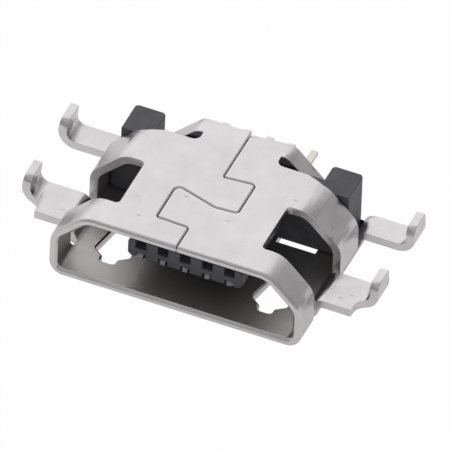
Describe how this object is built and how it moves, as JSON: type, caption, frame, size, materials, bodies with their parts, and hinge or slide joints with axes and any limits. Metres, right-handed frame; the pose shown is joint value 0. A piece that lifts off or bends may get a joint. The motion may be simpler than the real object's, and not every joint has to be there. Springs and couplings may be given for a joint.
{
  "type": "micro usb socket",
  "caption": "Mid-mount micro USB receptacle: a folded sheet shell with bent horn legs around a black moulding that carries flat solder contacts.",
  "frame": {"origin": "under the middle of the whole socket, in the plane of the wide panel's outer face", "axes": "+X along the mouth's width, -Y out of the mouth towards the plug, +Z from the wide panel to the seamed narrow panel"},
  "size_m": [0.0104, 0.0066, 0.0023],
  "materials": {
    "plated_shell": "satin nickel plating",
    "black_moulding": "fine matt moulded surface",
    "plated_contact": "pale plated"
  },
  "bodies": {
    "root": {"shell": "plated_shell", "housing": "black_moulding", "contact_1": "plated_contact", "contact_2": "plated_contact", "contact_3": "plated_contact", "contact_4": "plated_contact", "contact_5": "plated_contact"}
  },
  "joints": []
}
